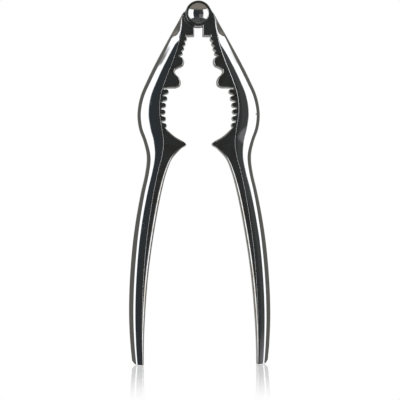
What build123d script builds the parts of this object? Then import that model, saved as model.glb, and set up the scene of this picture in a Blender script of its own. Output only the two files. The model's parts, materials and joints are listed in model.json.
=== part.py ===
from build123d import *
import math
import os

# A hand nutcracker: two cast arms with toothed jaws, hinged by a domed rivet.
#
# The row frame stands the tool on its two handle tips: +Z up, +X towards the fork arm, and -Y is the front.
# The origin is on the floor, midway between the tips and straight below the pivot.
# Every point of an arm is given as (out, down): millimetres outwards from the pivot axis, and below it.

# ---- Driving dimensions ----
pivot_height = 175.0  # pivot axis above the floor

ear_radius = 6.7  # round hinge eye
ear_face = 5.2  # front of the fork's eye from the middle plane, level with the web
tongue_radius = 6.4
tongue_half = 2.2
side_gap = 0.12  # between the tongue and each cheek of the fork
rim_gap = 0.4  # between a round eye and the metal that it turns in

rivet_radius = 3.0
rivet_gap = 0.05  # running clearance of the tongue on the rivet
dome_radius = 5.15
dome_height = 2.5
spigot_radius = 1.8  # end of the rivet that is pressed into its cap
spigot_length = 4.4
spigot_end_room = 0.3
cap_neck = 2.8  # how far the cap reaches into the rear cheek

web_half = 5.2  # half thickness of the toothed web

tooth_count = 6
tooth_radius = 1.4
tooth_length = 2.6
rib_count = 4
rib_radius = 1.1

block_inner = 2.0  # heel of the web under the eye
block_bottom = 11.2
tip_down = 175.0
tip_slope = 8.0  # degrees: the end face rises outwards
tip_inner = 28.2
overrun = 4.0  # length that the end cut takes off

eye_edge = 0.6  # rounding of the hinge eye's rim
grip_round = 1.4  # rounding of the handle's inner edges
tooth_round = 0.4  # rounding of the tooth ends

# Rail stations: down, outer edge, inner rim, half depth.
rail_stations = [
    (-0.3, 7.85, 7.3, 4.9),
    (2.5, 9.4, 8.1, 5.35),
    (6.0, 11.4, 8.3, 5.95),
    (10.0, 13.7, 9.0, 6.65),
    (16.0, 17.0, 10.2, 7.0),
    (24.0, 21.3, 12.9, 7.2),
    (33.0, 25.75, 16.5, 7.4),
    (41.0, 29.15, 19.0, 7.5),
    (49.5, 30.65, 19.6, 7.5),
    (57.0, 29.95, 18.5, 7.4),
    (64.0, 27.55, 17.7, 7.0),
    (71.0, 26.15, 18.5, 6.6),
    (79.0, 26.9, 20.6, 6.3),
    (89.0, 29.15, 22.7, 6.0),
    (101.0, 31.4, 24.7, 5.8),
    (115.0, 33.4, 26.6, 5.6),
    (132.0, 34.85, 28.0, 5.4),
    (149.0, 35.4, 28.7, 5.3),
    (164.0, 34.85, 28.8, 5.25),
    (tip_down + overrun, 33.4, 28.6, 5.2),
]
rim_round = 0.5  # rounding of the rail's inner rim

# Shape of the rail's round side: points in fractions of its width and half depth, and the
# angle at which it meets the parting line.
jaw_side = ((0.55, 0.835), (0.915, 0.39), 90)
grip_side = ((0.51, 0.93), (0.72, 0.70), 68)
top_blend = (6.0, 16.0)  # down: from the grip's side to the jaw's
grip_blend = (62.0, 118.0)  # down: and back again


def at(out, down):
    """A point of the arm in the front view: millimetres along X and Z."""
    return (out, pivot_height - down)


def front(sketch):
    """Stands a front-view sketch up in the middle plane."""
    return Plane.XZ * sketch


def slab(sketch, half):
    """A front-view sketch thickened by half on both sides of the middle plane."""
    return extrude(front(sketch), amount=half, both=True)


def round_bar(radius, y_from, y_to, out=0.0, down=0.0):
    """A cylinder along Y."""
    x, z = at(out, down)
    bar = Cylinder(radius, y_to - y_from)
    return Pos(x, (y_from + y_to) / 2, z) * Rot(X=90) * bar


# ---- Rail: the smooth outer band of an arm ----
def rail_shape(down):
    """The round side's points and angle at a station, between the jaw's form and the grip's."""
    top = 1 - min(max((down - top_blend[0]) / (top_blend[1] - top_blend[0]), 0), 1)
    low = min(max((down - grip_blend[0]) / (grip_blend[1] - grip_blend[0]), 0), 1)
    share = max(top, low)
    points = [
        tuple(a + share * (b - a) for a, b in zip(jaw_side[i], grip_side[i]))
        for i in range(2)
    ]
    return points, jaw_side[2] + share * (grip_side[2] - jaw_side[2])


def rail_section(down, outer, rim, half_depth):
    """A section across the arm: a flat back, a rounded rim and a swept round side."""
    width = outer - rim
    corner = min(rim_round, width / 4)
    points, angle = rail_shape(down)
    swept = [(rim + u * width, v * half_depth) for u, v in points]
    lean = (math.cos(math.radians(angle)), -math.sin(math.radians(angle)))
    side = Spline((rim + corner, half_depth), *swept, (outer, 0), tangents=[(1, 0), lean])
    soft = corner * (1 - math.sqrt(0.5))
    start = (rim, half_depth - corner)
    round_rim = ThreePointArc(start, (rim + soft, half_depth - soft), (rim + corner, half_depth))
    half = [round_rim, side]
    back = Line((rim, corner - half_depth), start)
    other_half = [edge.mirror(Plane.XZ) for edge in half]
    return Pos(0, 0, pivot_height - down) * make_face([*half, back, *other_half])


def rail():
    return loft([rail_section(*station) for station in rail_stations])


# ---- Web: the toothed plate inside the rail ----
def tooth_bar(tip, angle, radius, length):
    """A rounded tooth across the web that points towards the nut, its tip at (out, down)."""
    slot = Pos(radius + length / 2, 0) * SlotCenterToCenter(length, 2 * radius)
    bar = slab(Pos(*at(*tip)) * Rot(Z=angle) * slot, web_half)
    ends = bar.faces().sort_by(Axis.Y)
    return fillet(ends[0].edges() + ends[-1].edges(), tooth_round)


def jaw_teeth():
    """Large teeth spaced along a shallow arc that is hollow towards the nut."""
    path = front_arc((14.9, 38.5), (16.5, 48.0), (16.0, 56.0))
    teeth = []
    for i in range(tooth_count):
        along = i / (tooth_count - 1)
        tip = path @ along
        teeth.append(tooth_bar((tip.X, pivot_height - tip.Y), -12 + 24 * along, tooth_radius, tooth_length))
    return teeth


def throat_ribs():
    """Small ribs for hazelnuts, spaced along the straight throat under the heel."""
    path = Line(at(5.65, 12.3), at(7.8, 19.5))
    ribs = []
    for i in range(rib_count):
        tip = path @ (i / (rib_count - 1))
        ribs.append(tooth_bar((tip.X, pivot_height - tip.Y), -16, rib_radius, rib_radius))
    return ribs


def front_arc(start, middle, end):
    return ThreePointArc(at(*start), at(*middle), at(*end))


def web_outline():
    """The web of an arm in the front view, from the pivot axis to the handle's end, without its teeth."""
    lean = math.radians(30.5)  # of the straight upper edge from vertical
    tangent = (ear_radius * math.cos(lean), -ear_radius * math.sin(lean))
    eye_foot = (block_inner, math.sqrt(ear_radius**2 - block_inner**2))
    outer_edge = [
        Line(at(*tangent), at(8.05, 0.4)),
        Spline(
            at(8.05, 0.4), at(9.7, 8.0), at(15.0, 22.0), at(22.0, 41.0), at(23.2, 50.0), at(21.0, 62.0),
            at(20.6, 70.0), at(23.0, 83.0), at(26.8, 106.0), at(29.0, 128.0), at(29.6, 150.0),
            at(29.3, tip_down + overrun),
        ),
    ]
    end = Line(at(29.3, tip_down + overrun), at(tip_inner, tip_down + overrun))
    grip_edge = Spline(
        at(tip_inner, tip_down + overrun), at(28.0, 164.0), at(27.3, 150.0), at(25.6, 130.0), at(22.8, 110.0),
        at(19.05, 90.0), at(16.2, 79.0), at(13.4, 72.2), at(8.9, 67.2),
    )
    prong = [
        Line(at(8.9, 67.2), at(7.0, 66.1)),
        front_arc((7.0, 66.1), (6.25, 65.1), (7.0, 64.1)),
        front_arc((7.0, 64.1), (12.2, 60.9), (16.4, 56.6)),
    ]
    root = front_arc((16.4, 56.6), (18.5, 48.0), (16.6, 37.1))
    lobes = [
        Line(at(16.6, 37.1), at(11.4, 37.1)),
        Spline(
            at(11.4, 37.1), at(9.3, 36.0), at(8.8, 34.0), at(9.7, 31.7), at(11.3, 30.0), at(11.7, 28.4),
            at(10.2, 27.2), at(7.9, 26.1), at(7.1, 24.0), at(7.8, 22.0), at(9.6, 21.1),
            tangents=[(-1, 0), (1, 0.25)],
        ),
    ]
    throat = [
        Line(at(9.6, 21.1), at(8.55, 20.4)),
        Line(at(8.55, 20.4), at(6.0, 11.5)),
        Line(at(6.0, 11.5), at(block_inner, block_bottom)),
        Line(at(block_inner, block_bottom), at(*eye_foot)),
    ]
    hinge = [Line(at(*eye_foot), at(0, 0)), Line(at(0, 0), at(*tangent))]
    return make_face([*outer_edge, end, grip_edge, *prong, root, *lobes, *throat, *hinge])


def web():
    """The toothed plate, with the handle's inner edges rounded."""
    plate = slab(web_outline(), web_half)
    grip_edges = [edge for edge in plate.edges() if 90 < edge.length < 150 and abs(edge.center().Y) > 1]
    plate = fillet(grip_edges, grip_round)
    for tooth in jaw_teeth() + throat_ribs():
        plate += tooth
    return plate


def end_cut():
    """The block that trims the handle's end: a slope that rises outwards, rounded up at the outer corner."""
    rise = math.tan(math.radians(tip_slope))
    corner = (32.2, tip_down - (32.2 - tip_inner) * rise)
    outline = Polyline(
        at(34.4, corner[1] - 2.2), at(50, corner[1] - 2.2), at(50, tip_down + 20), at(20, tip_down + 20),
        at(20, tip_down + (tip_inner - 20) * rise), at(*corner),
    )
    rounding = front_arc(corner, (33.6, corner[1] - 0.75), (34.4, corner[1] - 2.2))
    return slab(make_face([*outline.edges(), rounding]), 20)


def arm_blank():
    """Rail and web of one arm, before its hinge is cut."""
    return rail() + web() - end_cut()


# ---- The four pieces ----
def fork_arm():
    """The right arm. Its eye is slotted for the tongue and bored for the rivet."""
    eye = round_bar(ear_radius, -ear_face, ear_face)
    eye = fillet(eye.edges().filter_by(GeomType.CIRCLE), eye_edge)
    half = tongue_half + side_gap
    body = arm_blank() + eye
    body -= round_bar(tongue_radius + rim_gap, -half, half)
    body -= round_bar(rivet_radius, -2 * ear_face, 2 * ear_face)
    return body


def tongue_arm():
    """The left arm. Its web ends in a hollow round the fork's eye, and a tongue goes on between the cheeks."""
    body = arm_blank()
    body -= round_bar(ear_radius + rim_gap, -2 * ear_face, 2 * ear_face)
    body += round_bar(tongue_radius, -tongue_half, tongue_half)
    body += slab(bridge(), tongue_half)
    body -= round_bar(rivet_radius + rivet_gap, -ear_face, ear_face)
    return mirror(body, about=Plane.YZ)


def bridge():
    """Joins the tongue's disc to the web across the hollow."""
    return make_face(Polyline(at(0, 0), at(5.6, -3.3), at(8.3, 0.8), at(8.3, 9.0), at(2.7, 9.0), close=True))


def dome(y_base, towards):
    """A snap head: a cap of a sphere that stands on the cheek and bulges towards -Y or +Y."""
    crown = (dome_radius**2 + dome_height**2) / (2 * dome_height)
    ball = Pos(0, y_base - towards * (crown - dome_height), pivot_height) * Sphere(crown)
    y_low, y_high = sorted((y_base, y_base + towards * dome_height))
    keep = round_bar(2 * crown, y_low, y_high)
    return ball & keep


def rivet():
    """Front head, shank and the spigot that holds the cap."""
    shank_end = ear_face - cap_neck
    body = dome(-ear_face, -1) + round_bar(rivet_radius, -ear_face, shank_end)
    return body + round_bar(spigot_radius, shank_end, shank_end + spigot_length)


def rivet_cap():
    """Rear head with a neck in the rear cheek, pressed on to the rivet."""
    neck_start = ear_face - cap_neck
    body = dome(ear_face, 1) + round_bar(rivet_radius, neck_start, ear_face)
    return body - round_bar(spigot_radius, neck_start, neck_start + spigot_length + spigot_end_room)


parts = {
    "fork_arm": fork_arm,
    "tongue_arm": tongue_arm,
    "pivot_rivet": rivet,
    "rivet_cap": rivet_cap,
}

os.makedirs("parts", exist_ok=True)
for node, make in parts.items():
    solid = make()
    export_step(solid, os.path.join("parts", node + ".step"))
    print(node, "volume", round(solid.volume), "mm3")
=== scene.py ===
import json
import math

import bmesh
import bpy
from mathutils import Matrix, Vector
from mathutils.geometry import interpolate_bezier

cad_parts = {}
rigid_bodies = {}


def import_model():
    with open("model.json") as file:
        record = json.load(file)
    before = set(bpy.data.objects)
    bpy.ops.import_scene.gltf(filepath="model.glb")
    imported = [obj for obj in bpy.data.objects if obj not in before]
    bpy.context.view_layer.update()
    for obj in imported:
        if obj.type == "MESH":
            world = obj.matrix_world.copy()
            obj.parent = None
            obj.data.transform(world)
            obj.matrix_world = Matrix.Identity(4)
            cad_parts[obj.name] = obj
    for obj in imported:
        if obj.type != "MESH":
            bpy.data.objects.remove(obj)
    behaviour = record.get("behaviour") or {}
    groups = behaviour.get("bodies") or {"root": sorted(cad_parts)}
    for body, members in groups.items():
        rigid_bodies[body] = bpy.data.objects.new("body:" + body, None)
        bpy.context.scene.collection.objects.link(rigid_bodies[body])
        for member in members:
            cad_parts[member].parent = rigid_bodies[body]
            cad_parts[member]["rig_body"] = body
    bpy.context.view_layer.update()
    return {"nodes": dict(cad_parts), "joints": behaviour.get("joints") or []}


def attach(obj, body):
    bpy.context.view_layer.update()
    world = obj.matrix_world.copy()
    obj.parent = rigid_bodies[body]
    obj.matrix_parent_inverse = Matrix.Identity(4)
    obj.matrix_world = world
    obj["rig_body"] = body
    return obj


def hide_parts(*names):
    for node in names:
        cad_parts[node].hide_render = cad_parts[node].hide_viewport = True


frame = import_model()
MM = 0.001

PIVOT = frame["joints"][0]["pos_m"]


# ---- Small helpers ----
def colour(hex_code):
    """An sRGB hex colour as linear RGBA."""
    channels = [int(hex_code[i : i + 2], 16) / 255 for i in (0, 2, 4)]
    linear = [c / 12.92 if c <= 0.04045 else ((c + 0.055) / 1.055) ** 2.4 for c in channels]
    return (*linear, 1)


def add(tree, kind, settings=None, **links):
    """Adds a node. Settings are its properties, and each link is a value or another node's output."""
    node = tree.nodes.new("ShaderNode" + kind)
    for key, value in (settings or {}).items():
        setattr(node, key, value)
    for key, value in links.items():
        key = key.replace("_", " ")
        socket = node.inputs[int(key[1:])] if key[0] == "i" and key[1:].isdigit() else node.inputs[key]
        if isinstance(value, bpy.types.NodeSocket):
            tree.links.new(value, socket)
        else:
            socket.default_value = value
    return node


def spread(tree, value, low, high, out_low=0.0, out_high=1.0):
    """A value from low to high, eased to run from out_low to out_high."""
    node = add(tree, "MapRange", {"interpolation_type": "SMOOTHSTEP"}, Value=value)
    for name, number in zip(("From Min", "From Max", "To Min", "To Max"), (low, high, out_low, out_high)):
        node.inputs[name].default_value = number
    return node.outputs["Result"]


def calculate(tree, operation, *numbers):
    """A Math node's result. Each number is a value or another node's output."""
    links = {f"i{k}": number for k, number in enumerate(numbers)}
    return add(tree, "Math", {"operation": operation}, **links).outputs[0]


# ---- Camera ----
def make_camera():
    distance = 750 * MM
    width = 200.3 * MM
    target = Vector((0.42, 0, 82.1)) * MM
    turn = math.radians(-2)
    roll = math.radians(0.32)
    data = bpy.data.cameras.new("camera")
    data.sensor_width = 36
    data.lens = data.sensor_width * distance / width
    data.clip_start = 0.01
    data.clip_end = 10
    camera = bpy.data.objects.new("camera", data)
    camera.location = target + distance * Vector((math.sin(turn), -math.cos(turn), 0))
    camera.rotation_euler = (math.pi / 2, roll, turn)
    bpy.context.scene.collection.objects.link(camera)
    bpy.context.scene.camera = camera


# ---- Studio ----
def make_studio():
    """A white studio. Bare chrome only shows what stands round it, so the softboxes and the dark
    room beyond them are painted on the world by direction, and the backdrop itself is white."""
    world = bpy.data.worlds.new("studio")
    bpy.context.scene.world = world
    world.use_nodes = True
    tree = world.node_tree
    tree.nodes.clear()
    way = add(tree, "TexCoord").outputs["Generated"]
    east, north, up = add(tree, "SeparateXYZ", i0=way).outputs

    # angle goes from 0 degrees straight behind the tool to 180 on the camera's side, and height from
    # -90 degrees straight below it to 90 above.
    level = calculate(tree, "MULTIPLY_ADD", north, north, calculate(tree, "MULTIPLY", east, east))
    facing = calculate(tree, "DIVIDE", north, calculate(tree, "SQRT", level))
    angle = calculate(tree, "DEGREES", calculate(tree, "ARCCOSINE", facing))
    height = calculate(tree, "DEGREES", calculate(tree, "ARCSINE", up))

    def area(*edges):
        """1 inside all those (value, outside, inside) edges, fading to 0 across each."""
        inside = spread(tree, *edges[0])
        for edge in edges[1:]:
            inside = calculate(tree, "MULTIPLY", inside, spread(tree, *edge))
        return inside

    def blend(factor, a, b):
        return add(tree, "MixRGB", {"blend_type": "MIX"}, Fac=factor, i1=a, i2=b).outputs[0]

    left_and_middle = blend(spread(tree, east, -0.25, -0.08), colour("34393D"), colour("373838"))
    room = blend(spread(tree, height, -60, -10), colour("5A5A5A"), left_and_middle)
    right = area((east, 0.12, 0.3), (angle, 120, 126))
    room = blend(right, room, colour("474948"))
    behind = spread(tree, angle, 84, 76)
    room = blend(behind, room, colour("66645F"))
    card = area((east, 0.1, 0.13), (east, 0.68, 0.66), (angle, 120, 126),
                (height, -5, -8), (height, -40, -36))
    room = blend(card, room, colour("7C787A"))
    ceiling = spread(tree, height, 24, 46)
    room = blend(ceiling, room, colour("8F887E"))
    sweep = area((angle, 34, 22), (height, 30, 20), (height, -30, -20))
    room = blend(sweep, room, colour("A0A09E"))
    boxes = area((angle, 137, 132), (angle, 80, 86), (height, 35, 31), (height, -36, -30))
    light = blend(boxes, room, colour("FFFFFF"))
    strength = calculate(tree, "MULTIPLY_ADD", boxes, 0.5, 1.0)

    path = add(tree, "LightPath").outputs
    white = calculate(tree, "MAXIMUM", path["Is Camera Ray"], path["Is Singular Ray"])
    studio = add(tree, "Background", Color=light, Strength=strength)
    backdrop = add(tree, "Background", Color=colour("FFFFFF"), Strength=1.0)
    mix = add(tree, "MixShader", i0=white, i1=studio.outputs[0], i2=backdrop.outputs[0])
    add(tree, "OutputWorld", Surface=mix.outputs[0])


def make_floor():
    """A sheet of clear white acrylic, mirror smooth, that the tips stand on. Its shine fades outwards."""
    mesh = bpy.data.meshes.new("floor")
    shape = bmesh.new()
    bmesh.ops.create_circle(shape, cap_ends=True, segments=64, radius=160 * MM)
    shape.to_mesh(mesh)
    shape.free()
    floor = bpy.data.objects.new("floor", mesh)
    bpy.context.scene.collection.objects.link(floor)
    material, tree, place = new_material("acrylic_sheet")
    reach = add(tree, "VectorMath", {"operation": "LENGTH"}, i0=place).outputs["Value"]
    shine = spread(tree, reach, 20 * MM, 150 * MM, 0.44, 0.0)
    clear = add(tree, "BsdfTransparent")
    mirror = add(tree, "BsdfGlossy", Roughness=0.0, Color=colour("FFFFFF"))
    seen = add(tree, "LightPath").outputs["Is Camera Ray"]
    share_seen = calculate(tree, "MULTIPLY", shine, seen)
    mix = add(tree, "MixShader", i0=share_seen, i1=clear.outputs[0], i2=mirror.outputs[0])
    add(tree, "OutputMaterial", Surface=mix.outputs[0])
    mesh.materials.append(material)


# ---- Finishes ----
def new_material(name):
    material = bpy.data.materials.new(name)
    material.use_nodes = True
    tree = material.node_tree
    tree.nodes.clear()
    return material, tree, add(tree, "TexCoord").outputs["Object"]


def cloud(tree, place, size_mm, detail=3.0):
    """Soft blotches of that size."""
    return add(tree, "TexNoise", Vector=place, Scale=1 / (size_mm * MM), Detail=detail).outputs[0]


def hairlines(tree, place, run_mm, pitch_mm, turn):
    """Fine sparse lines, long one way and close together the other."""
    settings = {"vector_type": "TEXTURE"}
    laid = add(tree, "Mapping", settings, Vector=place, Rotation=turn, Scale=(pitch_mm, run_mm, run_mm))
    streak = add(tree, "TexNoise", Vector=laid.outputs[0], Scale=1 / MM, Detail=1.0).outputs[0]
    middle = calculate(tree, "ABSOLUTE", calculate(tree, "SUBTRACT", streak, 0.5))
    return spread(tree, middle, 0.0, 0.012, 1.0, 0.0)


def mark(tree, place, out, down, y, across, along):
    """A spot on the right arm, 1 at its middle, from its place and its half sizes in millimetres."""
    middle = Vector((out, y, PIVOT[2] / MM - down)) * MM
    size = Vector((across, 3, along)) * MM
    laid = add(tree, "Mapping", {"vector_type": "TEXTURE"}, Vector=place, Location=middle, Scale=size)
    reach = add(tree, "VectorMath", {"operation": "LENGTH"}, i0=laid.outputs[0]).outputs["Value"]
    return spread(tree, reach, 0.5, 1.0, 1.0, 0.0)


def shaded(tree, factor, clean, marked):
    """The clean colour, going to the marked one where the factor is 1."""
    return add(tree, "MixRGB", Fac=factor, i1=colour(clean), i2=colour(marked)).outputs[0]


def finish(material, tree, base, roughness, height, depth_mm):
    """Bare metal with that relief. A height of 1 stands depth_mm out."""
    bump = add(tree, "Bump", Height=height, Distance=depth_mm * MM, Strength=1.0).outputs[0]
    metal = add(tree, "BsdfPrincipled", Metallic=1.0, Base_Color=base, Roughness=roughness, Normal=bump)
    add(tree, "OutputMaterial", Surface=metal.outputs[0])
    return material


def polished_plate():
    """Chrome plate on the belt-polished rail: a mirror that waves a little with the casting under it,
    with finger smears, fine wipe marks along the arm, a nick and the scratches of use."""
    material, tree, place = new_material("polished_chrome_plate")
    smear = spread(tree, cloud(tree, place, 9.0), 0.52, 0.72)
    wipe = hairlines(tree, place, run_mm=26.0, pitch_mm=0.5, turn=(0, 0.35, 0))
    cross = hairlines(tree, place, run_mm=9.0, pitch_mm=0.4, turn=(0.3, 1.45, 0))
    worn = spread(tree, cloud(tree, place, 14.0, 1.0), 0.55, 0.66)
    scratch = calculate(tree, "MULTIPLY", cross, worn)
    nick = mark(tree, place, out=28.5, down=50.2, y=-5.6, across=0.45, along=0.6)
    roughness = calculate(tree, "MULTIPLY_ADD", smear, 0.035, 0.035)
    lines = calculate(tree, "MAXIMUM", calculate(tree, "MULTIPLY", wipe, 0.25), scratch)
    lines = calculate(tree, "MAXIMUM", lines, nick)
    roughness = calculate(tree, "MAXIMUM", roughness, calculate(tree, "MULTIPLY", lines, 0.32))
    base = shaded(tree, nick, "DADCDE", "3A3836")
    waves = cloud(tree, place, 7.0, 1.0)
    height = calculate(tree, "SUBTRACT", waves, calculate(tree, "MULTIPLY", lines, 0.12))
    return finish(material, tree, base, roughness, height, depth_mm=0.035)


def cast_plate():
    """Chrome plate on the die-cast web, which is only tumbled: darker and softer than the rail, with the
    fine pebbling of the die and a brown-grey film where cloths don't reach."""
    material, tree, place = new_material("cast_chrome_plate")
    film = spread(tree, cloud(tree, place, 5.0), 0.42, 0.68)
    pebble = calculate(tree, "MULTIPLY", cloud(tree, place, 1.3, 1.0), 0.5)
    fleck = spread(tree, cloud(tree, place, 0.9, 1.0), 0.66, 0.74)
    base = shaded(tree, film, "D2D3D4", "BDB8B0")
    roughness = calculate(tree, "MULTIPLY_ADD", film, 0.07, 0.1)
    roughness = calculate(tree, "MAXIMUM", roughness, calculate(tree, "MULTIPLY", fleck, 0.3))
    sink = calculate(tree, "MULTIPLY", cloud(tree, place, 4.0, 1.0), 2.0)
    height = calculate(tree, "ADD", pebble, sink)
    return finish(material, tree, base, roughness, height, depth_mm=0.012)


def rivet_plate(name, pitted):
    """Chrome plate on a turned and buffed steel rivet: a bright mirror with faint lathe rings round its
    axis, and the pin pricks that years of nutshells leave on the crown."""
    material, tree, place = new_material(name)
    to_axis = Vector((0, 0, -PIVOT[2]))
    settings = {"vector_type": "POINT"}
    from_axis = add(tree, "Mapping", settings, Vector=place, Location=to_axis, Scale=(1, 0, 1))
    ring_pitch = 0.35 * MM
    rings = add(
        tree, "TexWave", {"wave_type": "RINGS", "rings_direction": "SPHERICAL"},
        Vector=from_axis.outputs[0], Scale=1 / (20 * ring_pitch), Distortion=0.6,
    ).outputs[1]
    pits = spread(tree, cloud(tree, place, 0.7, 2.0), 0.62, 0.72, 0.0, pitted)
    smear = spread(tree, cloud(tree, place, 3.0), 0.45, 0.7)
    base = shaded(tree, calculate(tree, "MULTIPLY", pits, 0.5), "DADBDB", "4A443E")
    roughness = calculate(tree, "MULTIPLY_ADD", smear, 0.05, 0.03)
    roughness = calculate(tree, "MAXIMUM", roughness, calculate(tree, "MULTIPLY", pits, 0.3))
    height = calculate(tree, "SUBTRACT", calculate(tree, "MULTIPLY", rings, 0.3), pits)
    return finish(material, tree, base, roughness, height, depth_mm=0.01)


# ---- Shapes of an arm ----
# Every point of an arm is (out, down): millimetres outwards from the pivot axis, and below it.
EYE = 6.7  # radius of the fork's round eye
EYE_FACE = 5.2  # from the middle of the tool to the face that a rivet head sits on
TONGUE = 6.4  # radius of the tongue's round end
TONGUE_HALF = 2.2
SLOT_HALF = 2.32
RIM_GAP = 0.4  # between the fork's eye and the left casting that curls round it
RIVET = 3.0  # radius of the shank
RIVET_PLAY = 0.05
WEB_HALF = 5.2
DRAFT = 0.34  # how far the web's walls lean in from the parting line to each face
EDGE_ROUND = 1.5  # the rounding of a web edge that has a full weight
THROUGH = 9.0  # half the length of a cutter that goes right through
TIP_DOWN = 175.0
TIP_INNER = 28.2
TIP_SLOPE = math.radians(8)
TIP_CORNER = (33.2, 173.9)  # a point on the slanting cut that takes off the tip's outer corner
TIP_CORNER_SLOPE = math.radians(48)
WEB_SHORT = 0.04  # the web ends this much above the rail, so their ends don't lie in one plane
HEEL = 2.0  # half the gap between the two heels under the eye
LEAN = math.radians(30.5)  # of the straight top of the rail, from upright
TEETH = 6
TOOTH_RADIUS = 1.4
TOOTH_DEPTH = 0.7  # the straight flanks behind a tooth's round end
TOOTH_FAN = 12  # degrees that the first and the last tooth turn from level
RIBS = 4
RIB_RADIUS = 1.1
RIB_TILT = -16
DOME = 5.15  # radius of a rivet head
DOME_HEIGHT = 2.5
SPIGOT = 1.8  # the shank's thin end, which the rear head is pressed on to
SPIGOT_LENGTH = 4.4
SPIGOT_CHAMFER = 0.3
CAP_NECK = 2.8
CAP_HOLE = 4.7

# Rows of the rail: how far down, its outer edge, its rim beside the web, and half its thickness.
RAIL = (
    (-0.3, 7.85, 7.3, 4.9),
    (2.5, 9.4, 8.1, 5.35),
    (6.0, 11.4, 8.3, 5.95),
    (10.0, 13.7, 9.0, 6.65),
    (16.0, 17.0, 10.2, 7.0),
    (24.0, 21.3, 12.9, 7.2),
    (33.0, 25.75, 16.5, 7.4),
    (41.0, 29.15, 19.0, 7.5),
    (49.5, 30.65, 19.6, 7.5),
    (57.0, 29.95, 18.5, 7.4),
    (64.0, 27.55, 17.7, 7.0),
    (71.0, 26.15, 18.5, 6.6),
    (79.0, 26.9, 20.6, 6.3),
    (89.0, 29.15, 22.7, 6.0),
    (101.0, 31.4, 24.7, 5.8),
    (115.0, 33.4, 26.6, 5.6),
    (132.0, 34.85, 28.0, 5.4),
    (149.0, 35.4, 28.7, 5.3),
    (164.0, 34.85, 28.8, 5.25),
    (179.0, 33.4, 28.6, 5.2),
)
# The rail's side, from its rim to its outer edge: two (share of the width, share of the half thickness,
# slope in degrees), then the slope at the outer edge. The eye, the top, the jaw and the grip differ.
JAW_SIDE = ((0.55, 0.835, 26), (0.915, 0.39, 60), 88)
GRIP_SIDE = ((0.51, 0.93, 20), (0.72, 0.70, 60), 68)
TOP_SIDE = ((0.45, 0.81, 33), (0.78, 0.6, 54), 84)
EYE_SIDE = ((0.35, 0.75, 52), (0.75, 0.4, 58), 86)


def point(out, down):
    return Vector((out, 0, PIVOT[2] / MM - down))


def share(value, start, end):
    """0 up to the start and 1 from the end, and even between them."""
    return min(max((value - start) / (end - start), 0), 1)


def smooth(points, step=0.7):
    """Points along a smooth curve through the given (out, down) points."""
    way = [Vector(p) for p in points]
    way = [2 * way[0] - way[1], *way, 2 * way[-1] - way[-2]]
    line = []
    for a, b, c, d in zip(way, way[1:], way[2:], way[3:]):
        ab, bc, cd = ((q - p).length ** 0.5 for p, q in ((a, b), (b, c), (c, d)))
        lead = (c - b) + bc * ((b - a) / ab - (c - a) / (ab + bc))
        trail = (c - b) + bc * ((d - c) / cd - (d - b) / (bc + cd))
        count = max(2, round((c - b).length / step))
        for i in range(count):
            t = i / count
            line.append(
                b * (2 * t**3 - 3 * t**2 + 1)
                + lead * (t**3 - 2 * t**2 + t)
                + c * (3 * t**2 - 2 * t**3)
                + trail * (t**3 - t**2)
            )
    return [*line, way[-2]]


def arc(radius, start, end, step=4.0):
    """Points round the pivot axis. Angles are in degrees from straight down, outwards."""
    count = max(2, round(abs(end - start) / step))
    turn = [math.radians(start + (end - start) * i / count) for i in range(count + 1)]
    return [Vector((radius * math.sin(a), radius * math.cos(a))) for a in turn]


def tooth(tip, tilt, radius, depth):
    """A round-ended tooth that points towards the nut, from its lower flank to its upper one."""
    tilt = math.radians(tilt)
    into = Vector((math.cos(tilt), -math.sin(tilt)))
    across = Vector((math.sin(tilt), math.cos(tilt)))
    centre = Vector(tip) + radius * into
    round_end = []
    for i in range(9):
        a = math.pi * i / 8
        round_end.append(centre + radius * (across * math.cos(a) - into * math.sin(a)))
    return [round_end[0] + depth * into, *round_end, round_end[-1] + depth * into]


def inner_edge():
    """The web's inner edge from the handle's end up to the heel: grip, prong, teeth, lobes and ribs."""
    grip = [
        (TIP_INNER, 179.0), (28.0, 164.0), (27.3, 150.0), (25.6, 130.0), (22.8, 110.0), (19.05, 90.0),
        (16.2, 79.0), (13.4, 72.2), (8.9, 67.2),
    ]
    line = smooth(grip, 1.5)
    line += smooth([(7.9, 66.55), (7.0, 66.1), (6.25, 65.1), (7.0, 64.1), (12.2, 60.9), (16.5, 57.0)])
    path = [Vector(p) for p in smooth([(16.0, 56.0), (16.5, 48.0), (14.9, 38.5)], 0.05)]
    for i in range(TEETH):
        along = i / (TEETH - 1)
        tip = path[round(along * (len(path) - 1))]
        line += tooth(tip, TOOTH_FAN - 2 * TOOTH_FAN * along, TOOTH_RADIUS, TOOTH_DEPTH)[0 if i else 3 :]
    line += [Vector((17.35, 37.15)), Vector((11.6, 37.1))]
    line += smooth(
        [
            (11.4, 37.1), (9.3, 36.0), (8.8, 34.0), (9.7, 31.7), (11.3, 30.0), (11.7, 28.4), (10.2, 27.2),
            (7.9, 26.1), (7.1, 24.0), (7.8, 22.0), (9.4, 21.15),
        ],
        0.4,
    )
    for i in range(RIBS):
        line += tooth((7.8 - 0.717 * i, 19.5 - 2.4 * i), RIB_TILT, RIB_RADIUS, 0)[3:-3]
    line += [Vector((5.95, 11.35)), Vector((HEEL, 11.2))]
    return line


def outer_edge():
    """The web's outer edge, hidden in the rail, from its top to the handle's end."""
    return smooth(
        [
            (8.05, 0.4), (9.4, 8.0), (15.2, 22.0), (22.4, 41.0), (23.6, 50.0), (21.4, 62.0), (21.0, 70.0),
            (23.4, 83.0), (27.2, 106.0), (29.4, 128.0), (30.1, 150.0), (29.9, 179.0),
        ],
        3.0,
    )


def angle_of(out, radius):
    return math.degrees(math.asin(out / radius))


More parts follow.
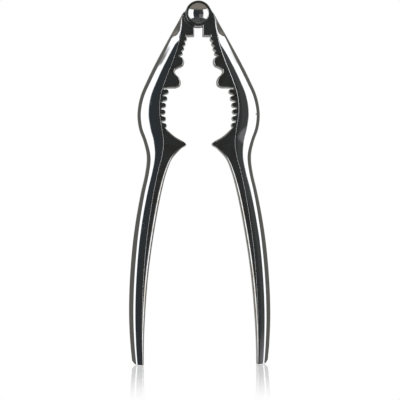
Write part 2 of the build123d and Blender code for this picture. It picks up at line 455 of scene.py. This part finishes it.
def plate(outline, half, draft):
    """A plate with that outline at its parting line. Its walls lean in to both faces."""
    shape = bmesh.new()
    corners = [shape.verts.new(point(*p)) for p in outline]
    face = shape.faces.new(corners)
    face.normal_update()
    if face.normal.y > 0:
        face.normal_flip()
    bmesh.ops.inset_region(
        shape, faces=[face], thickness=draft, depth=half, use_even_offset=True, use_boundary=True
    )
    copy = bmesh.ops.duplicate(shape, geom=shape.verts[:] + shape.edges[:] + shape.faces[:])["geom"]
    bmesh.ops.scale(shape, vec=(1, -1, 1), verts=[g for g in copy if isinstance(g, bmesh.types.BMVert)])
    bmesh.ops.reverse_faces(shape, faces=[g for g in copy if isinstance(g, bmesh.types.BMFace)])
    bmesh.ops.remove_doubles(shape, verts=shape.verts, dist=0.001)
    bmesh.ops.recalc_face_normals(shape, faces=shape.faces)
    return shape


def rail_row(down):
    """The rail's outer edge, rim and half thickness at that height, between its rows."""
    last = len(RAIL) - 1
    i = max(k for k in range(last) if RAIL[k][0] <= down or k == 0)
    rows = [Vector(RAIL[min(max(k, 0), last)]) for k in range(i - 1, i + 3)]
    slopes = []
    for a, b in ((rows[0], rows[2]), (rows[1], rows[3])):
        slopes.append((b - a) / (b[0] - a[0]))
    span = rows[2][0] - rows[1][0]
    t = (down - rows[1][0]) / span
    row = (
        rows[1] * (2 * t**3 - 3 * t**2 + 1)
        + slopes[0] * span * (t**3 - 2 * t**2 + t)
        + rows[2] * (3 * t**2 - 2 * t**3)
        + slopes[1] * span * (t**3 - t**2)
    )
    return row[1:]


def rail_ring(down, rim_fade):
    """Points round the rail: flat at the back inside the web, then a rounded rim and a swept side.
    The rim's rounding is polished away between the two rim_fade heights."""
    outer, rim, half = rail_row(down)
    width = outer - rim
    corner = min(0.5 - 0.36 * share(down, *rim_fade), width / 4)
    on_grip = share(down, 62, 118)
    on_top = 1 - share(down, 13, 26)
    at_eye = 1 - share(down, 8.4, 10.8)
    rim_slope = 25 * on_top + 22 * at_eye
    sides = [JAW_SIDE, GRIP_SIDE, TOP_SIDE, EYE_SIDE]
    shares = [1 - on_grip - on_top, on_grip, on_top - at_eye, at_eye]
    mixed = [[sum(w * side[k][i] for w, side in zip(shares, sides)) for i in range(3)] for k in range(2)]
    outer_slope = sum(w * side[2] for w, side in zip(shares, sides))
    keys = [(Vector((rim, half - corner)), 90), (Vector((rim + corner, half)), -rim_slope)]
    keys += [(Vector((rim + u * width, v * half)), -slope) for u, v, slope in mixed]
    keys += [(Vector((outer, 0)), -outer_slope)]
    points_per_key = 6
    side = []
    for (a, slope_a), (b, slope_b) in zip(keys, keys[1:]):
        reach = (b - a).length * 0.36
        lead = a + reach * Vector((math.cos(math.radians(slope_a)), math.sin(math.radians(slope_a))))
        trail = b - reach * Vector((math.cos(math.radians(slope_b)), math.sin(math.radians(slope_b))))
        side += interpolate_bezier(a, lead, trail, b, points_per_key + 1)[:-1]
    side.append(keys[-1][0])
    other = [Vector((p[0], -p[1])) for p in reversed(side[:-1])]
    ring = [Vector((rim, 0)), *side, *other, Vector((rim, 0))]
    return [Vector((p[0], -p[1], PIVOT[2] / MM - down)) for p in ring]


def rail(rim_fade):
    """The smooth outer band of an arm, as a tube of sections."""
    shape = bmesh.new()
    top, bottom = RAIL[0][0], RAIL[-1][0]
    rows = 180
    around = len(rail_ring(top, rim_fade)) - 1
    bmesh.ops.create_grid(shape, x_segments=rows, y_segments=around, size=1)
    rings = [rail_ring(top + (bottom - top) * i / rows, rim_fade) for i in range(rows + 1)]
    for vert in shape.verts:
        i = round((vert.co.x + 1) / 2 * rows)
        j = round((vert.co.y + 1) / 2 * around)
        vert.co = rings[i][j]
    bmesh.ops.remove_doubles(shape, verts=shape.verts, dist=0.001)
    bmesh.ops.holes_fill(shape, edges=[e for e in shape.edges if e.is_boundary], sides=0)
    bmesh.ops.recalc_face_normals(shape, faces=shape.faces)
    return shape


def trim_end(shape, short):
    """Cuts the handle's end to its slope and takes off the outer corner."""
    cuts = (((TIP_INNER, TIP_DOWN - short), TIP_SLOPE), (TIP_CORNER, TIP_CORNER_SLOPE))
    for place, angle in cuts:
        normal = Vector((math.sin(angle), 0, -math.cos(angle)))
        everything = shape.verts[:] + shape.edges[:] + shape.faces[:]
        bmesh.ops.bisect_plane(
            shape, geom=everything, dist=0.0001, plane_co=point(*place), plane_no=normal, clear_outer=True
        )
        bmesh.ops.holes_fill(shape, edges=[e for e in shape.edges if e.is_boundary], sides=0)
    bmesh.ops.recalc_face_normals(shape, faces=shape.faces)


def drum(radius, half):
    """A round bar through the hinge along Y."""
    shape = bmesh.new()
    bmesh.ops.create_cone(
        shape, cap_ends=True, segments=72, radius1=radius, radius2=radius, depth=2 * half
    )
    turn = Matrix.Rotation(math.pi / 2, 3, "X")
    bmesh.ops.rotate(shape, matrix=turn, verts=shape.verts)
    bmesh.ops.translate(shape, vec=point(0, 0), verts=shape.verts)
    return shape


def as_object(shape, name):
    mesh = bpy.data.meshes.new(name)
    shape.to_mesh(mesh)
    shape.free()
    made = bpy.data.objects.new(name, mesh)
    bpy.context.scene.collection.objects.link(made)
    return made


def with_modifiers(made):
    """The object's mesh with its modifiers applied, as a bmesh. The object is removed."""
    graph = bpy.context.evaluated_depsgraph_get()
    graph.update()
    shape = bmesh.new()
    shape.from_mesh(made.evaluated_get(graph).to_mesh())
    bpy.data.objects.remove(made)
    return shape


def rounded(shape):
    """Rounds the edges of the web's faces, each by its own share of EDGE_ROUND."""
    layer = shape.edges.layers.float.new("bevel_weight_edge")
    for edge in shape.edges:
        middle = (edge.verts[0].co + edge.verts[1].co) / 2
        on_face = all(abs(abs(v.co.y) - WEB_HALF) < 0.01 for v in edge.verts)
        from_pivot = (middle - point(0, 0)) * Vector((1, 0, 1))
        if on_face and edge.calc_face_angle(0) > 0.7 and from_pivot.length > 4:
            edge[layer] = edge_weight(middle)
    made = as_object(shape, "blank")
    bevel = made.modifiers.new("bevel", "BEVEL")
    bevel.width = EDGE_ROUND
    bevel.segments = 4
    bevel.limit_method = "WEIGHT"
    bevel.use_clamp_overlap = False
    return with_modifiers(made)


def without(shape, *tools):
    """The shape with the tools cut out of it."""
    made = as_object(shape, "blank")
    cutters = [as_object(tool, "cutter") for tool in tools]
    for cutter in cutters:
        cut = made.modifiers.new("cut", "BOOLEAN")
        cut.operation = "DIFFERENCE"
        cut.solver = "EXACT"
        cut.object = cutter
    result = with_modifiers(made)
    for cutter in cutters:
        bpy.data.objects.remove(cutter)
    return result


def edge_weight(middle):
    """Hand-filing round on the grip's inner edge, a small cast radius elsewhere."""
    down = PIVOT[2] / MM - middle.z
    rim = rail_row(max(down, RAIL[0][0]))[1]
    if middle.x > 0.5 + rim:
        return 0
    crisp = ((11.6, 21.0), (37.2, 58.0), (63.3, 66.6))  # ribs, teeth and the prong's tip
    if any(top < down < low for top, low in crisp):
        return 0
    cast = 0.14 + 0.14 * share(down, 7, 8) + 0.14 * share(down, 22, 24)
    return cast + 0.6 * share(down, 68, 90) - 0.62 * share(down, 145, 170)


def joined(name, *shapes):
    """One object in metres from closed shells in millimetres, smooth but for its real edges. Each shell
    takes the next finish of the piece."""
    whole = bmesh.new()
    for i, shape in enumerate(shapes):
        for face in shape.faces:
            face.material_index = i
        mesh = bpy.data.meshes.new("part")
        shape.to_mesh(mesh)
        shape.free()
        whole.from_mesh(mesh)
        bpy.data.meshes.remove(mesh)
    bmesh.ops.scale(whole, vec=(MM, MM, MM), verts=whole.verts)
    for face in whole.faces:
        face.smooth = True
    made = as_object(whole, name)
    made.data.set_sharp_from_angle(angle=math.radians(32))
    even = made.modifiers.new("flat_faces_stay_flat", "WEIGHTED_NORMAL")
    even.mode = "FACE_AREA"
    even.keep_sharp = True
    even.weight = 80
    return made


def flip(shape):
    """The same shape on the other side, as the left arm is the right one's mirror twin."""
    bmesh.ops.scale(shape, vec=(-1, 1, 1), verts=shape.verts)
    bmesh.ops.reverse_faces(shape, faces=shape.faces)
    return shape


def fork_arm():
    heel = angle_of(HEEL, EYE)
    top = 90 + math.degrees(LEAN)
    outline = outer_edge() + inner_edge() + arc(EYE, heel, top - 360)
    web = plate(outline, WEB_HALF, DRAFT)
    web = rounded(without(web, drum(EYE + 0.1, SLOT_HALF), drum(RIVET, THROUGH)))
    band = rail((26, 56))
    trim_end(web, WEB_SHORT)
    trim_end(band, 0)
    return joined("fork_arm_casting", web, band)


def tongue_arm():
    gap = EYE + RIM_GAP
    top = 90 + math.degrees(LEAN) - math.degrees(math.acos(EYE / gap))
    outline = outer_edge() + inner_edge() + arc(gap, angle_of(HEEL, gap), top)
    web = rounded(plate(outline, WEB_HALF, DRAFT))
    neck = [Vector(p) for p in ((5.5, -3.2), (8.0, 0.7), (9.5, 6.0), (6.0, 9.5), (2.9, 9.0))]
    tongue = plate(neck + arc(TONGUE, 20, 120 - 360), TONGUE_HALF, 0.02)
    tongue = without(tongue, drum(RIVET + RIVET_PLAY, THROUGH))
    band = rail((6, 14))
    trim_end(web, WEB_SHORT)
    trim_end(band, 0)
    band = without(band, drum(gap, THROUGH))
    return joined("tongue_arm_casting", flip(web), flip(band), flip(tongue))


def turned(profile):
    """A turned piece round the rivet's axis, from (radius, y) points that start and end on it."""
    shape = bmesh.new()
    centre = point(0, 0)
    corners = [shape.verts.new(centre + Vector((radius, y, 0))) for radius, y in profile]
    edges = [shape.edges.new(pair) for pair in zip(corners, corners[1:])]
    bmesh.ops.spin(
        shape, geom=corners + edges, cent=centre, axis=(0, 1, 0), angle=math.tau, steps=96, use_merge=True
    )
    bmesh.ops.remove_doubles(shape, verts=shape.verts, dist=0.001)
    bmesh.ops.recalc_face_normals(shape, faces=shape.faces)
    return shape


def head(towards):
    """The profile of a snap head, from its crown to where it meets the cheek."""
    crown = (DOME**2 + DOME_HEIGHT**2) / (2 * DOME_HEIGHT)
    reach = math.asin(DOME / crown)
    profile = []
    steps = 24
    for i in range(steps + 1):
        a = reach * i / steps
        y = EYE_FACE + DOME_HEIGHT - crown * (1 - math.cos(a))
        profile.append((crown * math.sin(a), towards * y))
    return profile


def pivot_rivet():
    shank_end = EYE_FACE - CAP_NECK
    foot = [(RIVET, -EYE_FACE), (RIVET, shank_end), (SPIGOT, shank_end)]
    end = shank_end + SPIGOT_LENGTH
    spigot = [(SPIGOT, end - SPIGOT_CHAMFER), (SPIGOT - SPIGOT_CHAMFER, end), (0, end)]
    return joined("rivet_head_and_shank", turned(head(-1) + foot + spigot))


def rivet_cap():
    neck = EYE_FACE - CAP_NECK
    bottom = neck + CAP_HOLE
    hole = [(RIVET, EYE_FACE), (RIVET, neck), (SPIGOT, neck), (SPIGOT, bottom), (0, bottom)]
    return joined("rivet_rear_head", turned(head(1) + hole))


bpy.context.scene.view_settings.view_transform = "Standard"
make_camera()
make_studio()
make_floor()
rail_finish = polished_plate()
web_finish = cast_plate()
pieces = {
    "fork_arm": (fork_arm, "plated_casting_right", (web_finish, rail_finish)),
    "tongue_arm": (tongue_arm, "plated_casting_left", (web_finish, rail_finish, web_finish)),
    "pivot_rivet": (pivot_rivet, "polished_rivet", (rivet_plate("buffed_rivet_plate", 1.0),)),
    "rivet_cap": (rivet_cap, "polished_rivet_cap", (rivet_plate("buffed_cap_plate", 0.6),)),
}
for node, (make, slot, finishes) in pieces.items():
    piece = make()
    for material in finishes:
        piece.data.materials.append(material)
    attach(piece, frame["nodes"][node]["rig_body"])
    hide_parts(node)
